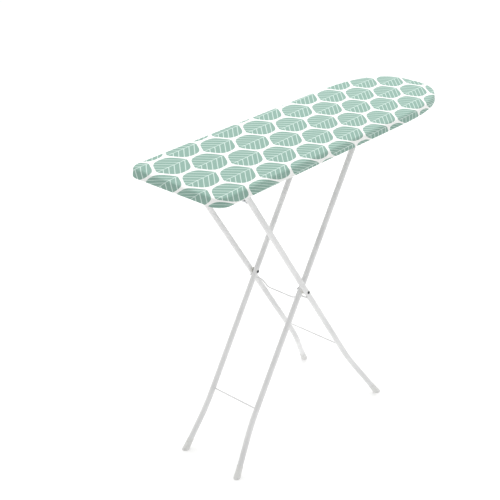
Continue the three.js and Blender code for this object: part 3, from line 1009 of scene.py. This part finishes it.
@dataclass
class LegSet:
    """Two bent tubes with their crossbar, brace wire and foot caps."""

    name: str
    body: Body
    sign: float
    lean: float
    top_y: float
    pivot_y: float
    brace_z: float
    bend_z: float
    foot_y: float
    overrun: float
    pivot: np.ndarray
    axis_z: float
    tube: float = 8.0 * MM
    wall: float = 0.9 * MM
    wire: float = 2.0 * MM
    bead: tuple = (3.3 * MM, 1.9 * MM, 3.3 * MM)
    bend_half: float = 0.040
    end_z: float = 0.014
    sides: int = 36
    finishes: dict = field(default_factory=dict)

    def x(self, z: float) -> float:
        """x of the tubes at height z."""
        return self.pivot[0] + self.sign * self.lean * (self.pivot[2] - z)

    def upper_y(self, z: float) -> float:
        """y of the straight upper part of the left tube at height z."""
        slope = (self.top_y - self.pivot_y) / (self.axis_z - self.pivot[2])
        return self.pivot_y + slope * (z - self.pivot[2])

    def lower_y(self, z: float) -> float:
        """y of the splayed lower part of the left tube at height z."""
        bend_y = self.upper_y(self.bend_z)
        return bend_y + (self.bend_z - z) / (self.bend_z - self.end_z) * (self.foot_y - bend_y)

    def down(self) -> np.ndarray:
        """Unit vector down the tubes, seen from the side."""
        return unit(np.array([self.sign * self.lean, 0.0, -1.0]))

    def centre_line(self, side: float) -> Path:
        """The middle of one tube from its upper end to its foot.

        Args:
            side: 1 for the left tube and -1 for the right one.

        Returns:
            The path.
        """
        top = np.array([self.x(self.axis_z), side * self.top_y, self.axis_z]) - self.down() * self.overrun
        bend = np.array([self.x(self.bend_z), side * self.upper_y(self.bend_z), self.bend_z])
        end = np.array([self.x(self.end_z), side * self.foot_y, self.end_z])
        return rounded([top, bend, end], [self.bend_half * math.hypot(1, self.lean)], 24)

    def tube_piece(self, side: float, label: str) -> Object:
        """Makes one tube with an open, rounded upper end.

        Args:
            side: 1 for the left tube and -1 for the right one.
            label: the side's name.

        Returns:
            The tube.
        """
        path = self.centre_line(side)
        lip = 0.25 * MM
        bore, rim = self.tube - self.wall, self.tube - lip
        mouth = [(14 * MM, bore), (0.4 * MM, bore), (0.0, bore + lip), (0.0, rim), (lip, self.tube)]
        runs = [(d, self.tube) for d in np.linspace(4 * MM, path.length - 1 * MM, 72)]
        shape = swept(path, [*mouth, *runs, (path.length, self.tube - 2 * lip)], 32, Y_AXIS)
        name, node = f"{self.name}_tube_{label}", f"{self.name}_leg_{label}"
        return piece(name, shape, self.finishes["paint"], self.body, (node,))

    def cap_piece(self, side: float, label: str) -> Object:
        """Makes one foot cap: a beaded collar and a flared foot.

        The foot is carried past the floor, and what lies below the floor is drawn back along the tube, its
        last three rings to 1, 0.3 and 0 mm, so that the sole is flat with a rounded edge.

        Args:
            side: 1 for the left cap and -1 for the right one.
            label: the side's name.

        Returns:
            The cap.
        """
        path = self.centre_line(side)
        end, sides = path.length, self.sides
        collar = [(-19, 8.2), (-19, 8.6), (-18.7, 8.9), (-17.8, 9.1), (-16.4, 9.1), (-15.6, 8.9)]
        flare = [(-14.8, 8.8), (-8, 8.9), (-1, 9.1), (4, 9.5), (8, 10)]
        sole = [(30, 10.2), (30, 10), (30, 9.4)]
        profile = [(end + d * MM, r * MM) for d, r in [*collar, *flare, *sole]]
        points, faces = swept(path, profile, sides, Y_AXIS)
        down = path.heading(np.array([end]))[0]
        floors = np.full(len(points), 1.0 * MM)
        floors[-2 * sides : -sides] = 0.3 * MM
        floors[-sides:] = 0.0
        deep = np.clip(floors - points[:, 2], 0, None)
        points = points + down * (deep / down[2])[:, None]
        name, node = f"{self.name}_cap_{label}", f"{self.name}_foot_{label}"
        return piece(name, (points, faces), self.finishes["cap"], self.body, (node,))

    def crossbar_piece(self) -> Object:
        """Makes the top crossbar, its ends swollen where they are welded into the tubes.

        Returns:
            The crossbar.
        """
        low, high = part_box(f"{self.name}_crossbar")
        middle = (low + high) / 2
        radius, reach = (high.z - low.z) / 2, high.y
        path = Path(np.array([[middle.x, -reach, middle.z], [middle.x, reach, middle.z]]))
        length = path.length
        profile = [(0, radius + 1.4 * MM), (1.2 * MM, radius + 1.0 * MM), (2.6 * MM, radius)]
        profile += [(length - d, r) for d, r in profile[::-1]]
        shape = swept(path, profile, 24, X_AXIS)
        node = f"{self.name}_crossbar"
        return piece(f"{self.name}_top_bar", shape, self.finishes["zinc"], self.body, (node,))

    def welded_wire(self, node: str, path: Path, beads: list) -> Object:
        """Makes a wire with a weld bead at each end.

        Args:
            node: the CAD node that it replaces.
            path: the wire's middle.
            beads: the beads' middles.

        Returns:
            The wire.
        """
        tip = 0.4 * MM
        profile = [(d, self.wire) for d in np.linspace(0, path.length, 90)]
        profile = [(-tip, self.wire * 0.7), *profile, (path.length + tip, self.wire * 0.7)]
        shape = merged([swept(path, profile, 14, X_AXIS), *[ball(bead, self.bead) for bead in beads]])
        return piece(f"{node}_rod", shape, self.finishes["paint"], self.body, (node,))

    def brace_piece(self) -> Object:
        """Makes the lower brace wire, straight between the inner faces of the tubes.

        Returns:
            The wire.
        """
        x, y, z = self.x(self.brace_z), self.upper_y(self.brace_z) - self.tube, self.brace_z
        path = Path(np.array([[x, -y, z], [x, y, z]]))
        beads = path.at(np.array([0.0, path.length]))
        return self.welded_wire(f"{self.name}_brace_wire", path, list(beads))

    def build(self) -> None:
        """Makes every piece of the set."""
        for label, side in SIDES.items():
            self.tube_piece(side, label)
            self.cap_piece(side, label)
        self.crossbar_piece()
        self.brace_piece()
        LOG.info("%s legs built", self.name)


@dataclass
class SpreaderWire:
    """Wire under the pivots of the outer set, its middle cranked down between the inner tubes."""

    legs: LegSet
    left_crank: tuple = (0.060, 0.036)
    right_crank: tuple = (0.084, 0.056)
    round_off: float = 7 * MM

    def build(self) -> Object:
        """Makes the wire.

        Returns:
            The wire.
        """
        low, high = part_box("spreader_wire")
        wire = self.legs.wire
        x, up, down, reach = (low.x + high.x) / 2, high.z - wire, low.z + wire, high.y
        left = [[x, reach, up], [x, self.left_crank[0], up], [x, self.left_crank[1], down]]
        right = [[x, -self.right_crank[1], down], [x, -self.right_crank[0], up], [x, -reach, up]]
        path = rounded([*left, *right], [self.round_off] * 4)
        slope = self.legs.down()
        toward = np.array([slope[2], 0.0, -slope[0]])
        inset = wire + 1.5 * MM
        ends = path.at(np.array([inset, path.length - inset])) - toward * wire
        return self.legs.welded_wire("spreader_wire", path, list(ends))


@dataclass
class Pivots:
    """Rivets that join the two leg sets with a nylon washer between the tubes, and the bar's spools."""

    finishes: dict
    sides: int = 28

    STEEL = ("rivet", "dark_steel")
    NYLON = ("nylon", "nylon")

    def span(self, node: str) -> tuple:
        """The distances from the middle plane at which a CAD node starts and ends."""
        return tuple(sorted(abs(corner.y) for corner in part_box(node)))

    def turned(self, node: str, name: str, profile: list, body: Body, finish: tuple, side: float) -> None:
        """Makes one turned piece on the axis of a CAD node.

        Args:
            node: the CAD node, which it replaces.
            name: the piece's name.
            profile: pairs of y on the left side and radius; it closes on itself where it has a bore.
            body: the body that it rides on.
            finish: the finish's name, and the name of a material slot in the record, which is not used.
            side: 1 on the left and -1 on the right.
        """
        low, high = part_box(node)
        x, z = (low.x + high.x) / 2, (low.z + high.z) / 2
        path = Path(np.array([[x, 0.0, z], [x, side, z]]))
        closed = profile[0] == profile[-1]
        rings = profile[:-1] if closed else profile
        shape = swept(path, rings, self.sides, X_AXIS, closed)
        piece(name, shape, self.finishes[finish[0]], body, (node,))

    def rivet(self, label: str, side: float) -> None:
        """Makes one pivot rivet with a domed head at each end.

        Args:
            label: the side's name.
            side: 1 on the left and -1 on the right.
        """
        node = f"pivot_rivet_{label}"
        inner, outer = self.span(node)
        head, dome, shank = 4.4 * MM, 2.0 * MM, 3.1 * MM
        t = np.linspace(0.04, 1, 7)
        rise = dome * (1 - np.sqrt(1 - 0.96 * t**2))
        near = [(inner + h, head * r) for h, r in zip(rise, t)]
        far = [(outer - h, head * r) for h, r in zip(rise[::-1], t[::-1])]
        seats = [(inner + dome, head - 0.2 * MM), (inner + dome, shank), (outer - dome, shank)]
        profile = [*near, *seats, (outer - dome, head - 0.2 * MM), *far]
        self.turned(node, f"pivot_pin_{label}", profile, Body.OUTER, self.STEEL, side)

    def washer(self, label: str, side: float) -> None:
        """Makes one washer with softened rims.

        Args:
            label: the side's name.
            side: 1 on the left and -1 on the right.
        """
        node = f"pivot_washer_{label}"
        inner, outer = self.span(node)
        bore, rim, soft = 3.5 * MM, 9.0 * MM, 0.5 * MM
        profile = [(inner, bore), (inner, rim - soft), (inner + soft, rim), (outer - soft, rim)]
        profile += [(outer, rim - soft), (outer, bore), (inner, bore)]
        self.turned(node, f"pivot_spacer_{label}", profile, Body.INNER, self.NYLON, side)

    def bush(self, label: str, side: float) -> None:
        """Makes one spool that carries the sliding bar in the slot of the rail.

        Args:
            label: the side's name.
            side: 1 on the left and -1 on the right.
        """
        node = f"bar_bush_{label}"
        inner, outer = self.span(node)
        bore, flange, waist, soft, collar = 5.3 * MM, 10.0 * MM, 7.0 * MM, 0.4 * MM, 3.0 * MM
        near, far = [
            [(start, flange - soft), (start + soft, flange), (end - soft, flange), (end, flange - soft)]
            for start, end in ((inner, inner + collar), (outer - collar, outer))
        ]
        middle = [(inner + collar, waist), (outer - collar, waist)]
        profile = [(inner, bore), *near, *middle, *far, (outer, bore), (inner, bore)]
        self.turned(node, f"rail_spool_{label}", profile, Body.INNER, self.NYLON, side)

    def build(self) -> None:
        """Makes the rivets, washers and spools of both sides."""
        for label, side in SIDES.items():
            self.rivet(label, side)
            self.washer(label, side)
            self.bush(label, side)
        LOG.info("pivots built")


# ------------------------------------------------------------------ release lever


@dataclass
class LeverParts:
    """Grip and return spring of the release lever."""

    finishes: dict
    ridge: float = 0.05
    ridges: int = 5
    square: float = 3.4

    def grip(self) -> Object:
        """Makes the grip: a superellipse section along y, |x/w|^n + |z/h|^n = 1, with finger ridges.

        Returns:
            The grip.
        """
        low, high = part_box("lever_grip")
        middle, half = (low + high) / 2, (high - low) / 2
        t = np.linspace(-1, 1, 60)
        ends = (1 - np.abs(np.clip(t, -0.999, 0.999)) ** 10) ** (1 / 5)
        swell = ends * (1 - self.ridge * (0.5 + 0.5 * np.cos(t * math.pi * self.ridges * 1.6)))
        angle = np.linspace(0, math.tau, 40, endpoint=False)
        wide = np.sign(np.cos(angle)) * np.abs(np.cos(angle)) ** (2 / self.square)
        tall = np.sign(np.sin(angle)) * np.abs(np.sin(angle)) ** (2 / self.square)
        x = middle.x + half.x * swell[:, None] * wide[None]
        z = middle.z + half.z * swell[:, None] * tall[None]
        y = np.broadcast_to((middle.y + half.y * t)[:, None], x.shape)
        shape = (np.stack([x, y, z], -1).reshape(-1, 3), grid_faces(len(t), len(angle), False))
        return piece("lever_handle", shape, self.finishes["nylon"], Body.LEVER, ("lever_grip",))

    def spring(self) -> Object:
        """Makes the torsion spring: a helix on the pin with a straight tail at each end.

        Returns:
            The spring.
        """
        low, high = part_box("lever_spring")
        pin_low, pin_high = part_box("lever_pin")
        pin_y, pin_z = (pin_low.y + pin_high.y) / 2, (pin_low.z + pin_high.z) / 2
        wire, turns = 0.55 * MM, 4.5
        radius = (high.z - low.z) / 2 - wire
        angle = np.linspace(-math.pi / 2, -math.pi / 2 + math.tau * turns, 150)
        x = np.linspace(low.x + wire, high.x - wire, len(angle))
        coil = np.stack([x, pin_y + radius * np.cos(angle), pin_z + radius * np.sin(angle)], 1)
        first = [[x[0], pin_y - 9 * MM, pin_z - radius]]
        last = [[x[-1], pin_y - 9 * MM, pin_z + radius]]
        path = Path(np.concatenate([first, coil, last]))
        profile = [(d, wire) for d in np.linspace(0, path.length, 220)]
        shape = swept(path, profile, 10, X_AXIS)
        return piece("return_spring", shape, self.finishes["zinc"], Body.BOARD, ("lever_spring",))

    def build(self) -> None:
        """Makes the grip and the spring."""
        self.grip()
        self.spring()
        LOG.info("lever built")


# ------------------------------------------------------------------ pressed steel parts


@dataclass
class PressedParts:
    """CAD nodes whose shape is right: they get a finish, and a softened edge as pressed sheet has."""

    finishes: dict
    edge: float = 0.35 * MM

    def dress(self, node: str, finish: str) -> None:
        """Gives one node its finish and softens its edges.

        Args:
            node: the CAD node.
            finish: the finish's name.
        """
        part = frame["nodes"][node]
        part.data.materials.clear()
        part.data.materials.append(self.finishes[finish])
        part.modifiers.new("weld", "WELD").merge_threshold = 1e-5
        soften = part.modifiers.new("edge", "BEVEL")
        soften.width = self.edge
        soften.segments = 2
        soften.limit_method = "ANGLE"
        soften.angle_limit = math.radians(40)

    def build(self) -> None:
        """Dresses every pressed part."""
        painted = [n for n in frame["nodes"] if n.startswith("cross_rib")]
        for node in [*painted, "rim_channel", "height_rail", "release_lever"]:
            self.dress(node, "paint")
        plated = ("hinge_bracket", "hinge_rivet", "rail_hanger", "hanger_rivet", "lever_bracket", "lever_pin")
        for node in [n for n in frame["nodes"] if n.startswith(plated)]:
            self.dress(node, "zinc")
        LOG.info("pressed parts dressed")


# ------------------------------------------------------------------ studio


@dataclass
class Studio:
    """Pale floor, soft lights and the camera."""

    azimuth: float = -49.18
    elevation: float = 27.27
    distance: float = 2.95
    aim: tuple = (-0.2137, -0.0465, 0.6210)
    lens: float = 79.6
    shift: tuple = (-0.0355, -0.0008)
    white: str = "#FFFFFF"
    glow: float = 0.3  # light of its own that keeps the floor white
    surround: float = 0.58
    floor_radius: float = 30.0
    floor_flat: float = 12.0  # the floor rises past this radius
    floor_rise: float = 0.02
    floor_z: float = -0.5 * MM
    floor_rings: int = 39
    floor_sides: int = 96

    def camera(self) -> None:
        """Makes the camera, turned towards its aim."""
        data = bpy.data.cameras.new("camera")
        data.lens = self.lens
        data.shift_x, data.shift_y = self.shift
        data.clip_end = 100.0
        made = bpy.data.objects.new("camera", data)
        a, e = math.radians(self.azimuth), math.radians(self.elevation)
        back = Vector((math.sin(a) * math.cos(e), -math.cos(a) * math.cos(e), math.sin(e)))
        made.location = Vector(self.aim) + back * self.distance
        made.rotation_mode = "QUATERNION"
        made.rotation_quaternion = (-back).to_track_quat("-Z", "Y")
        bpy.context.scene.collection.objects.link(made)
        bpy.context.scene.camera = made

    def light(self, name: str, place: tuple, size: float, power: float) -> None:
        """Makes a square soft light that faces the board's middle.

        Args:
            name: the light's name.
            place: where it hangs.
            size: its side.
            power: its power in watts.
        """
        data = bpy.data.lights.new(name, "AREA")
        data.size = size
        data.energy = power
        made = bpy.data.objects.new(name, data)
        made.location = place
        made.rotation_mode = "QUATERNION"
        made.rotation_quaternion = (Vector((0, 0, 0.5)) - Vector(place)).to_track_quat("-Z", "Y")
        bpy.context.scene.collection.objects.link(made)

    def floor(self) -> None:
        """Makes the floor: a flat disc whose rim rises with the square of the distance past its flat part."""
        rings, sides = self.floor_rings, self.floor_sides
        radius = np.linspace(0, 1, rings + 1)[1:, None] * self.floor_radius
        angle = np.linspace(0, math.tau, sides, endpoint=False)[None]
        x, y = radius * np.cos(angle), radius * np.sin(angle)
        rise = self.floor_rise * np.clip(radius - self.floor_flat, 0, None) ** 2
        z = np.broadcast_to(self.floor_z + rise, x.shape)
        points = np.concatenate([[[0, 0, self.floor_z]], np.stack([x, y, z], -1).reshape(-1, 3)])
        faces = [[corner + 1 for corner in face[::-1]] for face in grid_faces(rings, sides, False)[:-2]]
        faces += [[0, 1 + k, 1 + (k + 1) % sides] for k in range(sides)]
        material, tree, shader = new_material("matt_backdrop_paper")
        tone = ramp(tree, grain(tree, 0.4), 0.3, 0.7)
        colour = mixed(tree, tone, linear("#E9E9E9"), linear("#E6E6E5"))
        feed(tree, shader, {"Base Color": colour, "Roughness": 0.95, "Specular IOR Level": 0.1})
        feed(tree, shader, {"Emission Color": linear(self.white), "Emission Strength": self.glow})
        mesh = bpy.data.meshes.new("floor")
        mesh.from_pydata(points.tolist(), [], faces)
        mesh.shade_smooth()
        mesh.materials.append(material)
        made = bpy.data.objects.new("floor", mesh)
        bpy.context.scene.collection.objects.link(made)

    def build(self) -> None:
        """Sets up the camera, floor, lights and surrounding light."""
        self.camera()
        self.floor()
        self.light("overhead", (1.2, 1.4, 4.6), 6.5, 208)
        self.light("key", (2.2, -1.6, 3.0), 1.4, 8)
        world = bpy.data.worlds.new("soft_white")
        bpy.context.scene.world = world
        world.use_nodes = True
        light = {"Color": linear(self.white), "Strength": self.surround}
        feed(world.node_tree, world.node_tree.nodes["Background"], light)
        bpy.context.scene.view_settings.view_transform = "Standard"
        LOG.info("studio built")


# ------------------------------------------------------------------ assembly


def leg_sets(finishes: dict) -> tuple[LegSet, LegSet]:
    """Works out both leg sets from the frame's joints and crossbars.

    Args:
        finishes: the finishes by name.

    Returns:
        The outer set and the inner set.
    """
    joints = {joint["name"]: joint for joint in frame["joints"]}
    pivot = np.array(joints["scissor_pivot"]["pos_m"])
    hinge = np.array(joints["leg_fold"]["pos_m"])
    low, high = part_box("inner_crossbar")
    rise = hinge[2] - pivot[2]
    shared = {"pivot": pivot, "axis_z": hinge[2], "finishes": finishes}
    outer = LegSet(
        name="outer",
        body=Body.OUTER,
        sign=1.0,
        lean=(pivot[0] - hinge[0]) / rise,
        top_y=0.103,
        pivot_y=0.103,
        brace_z=0.221,
        bend_z=0.156,
        foot_y=0.1417,
        overrun=0.034,
        **shared,
    )
    inner = LegSet(
        name="inner",
        body=Body.INNER,
        sign=-1.0,
        lean=((low.x + high.x) / 2 - pivot[0]) / rise,
        top_y=0.083,
        pivot_y=0.083,
        brace_z=0.168,
        bend_z=0.126,
        foot_y=0.0977,
        overrun=0.009,
        **shared,
    )
    return outer, inner


def main() -> None:
    """Builds the studio and every part of the board in order."""
    logging.basicConfig(level=logging.INFO, format="%(name)s: %(message)s")
    Studio().build()
    finishes = {
        "paint": PowderCoat().build(),
        "zinc": ZincPlate().build(),
        "rivet": RivetSteel().build(),
        "cap": MouldedPlastic("moulded_pvc", "#E3E3E1", "#D2D2CF", 0.5).build(),
        "nylon": MouldedPlastic("moulded_nylon", "#E4E3DE", "#D6D5CF", 0.42).build(),
        "felt": NeedledFelt().build(),
        "cotton": LeafPrint().build(),
        "panel": PowderCoat("powder_coated_sheet", "#D9DADA", "#CFD0D0", 0.42).build(),
    }
    outline = Outline()
    FeltPad(outline).build(finishes["felt"])
    Cover(outline).build(finishes["cotton"])
    PiercedPanel(outline).build(finishes["panel"])
    outer, inner = leg_sets(finishes)
    outer.build()
    inner.build()
    SpreaderWire(outer).build()
    Pivots(finishes).build()
    LeverParts(finishes).build()
    PressedParts(finishes).build()


if __name__ == "__main__":
    main()
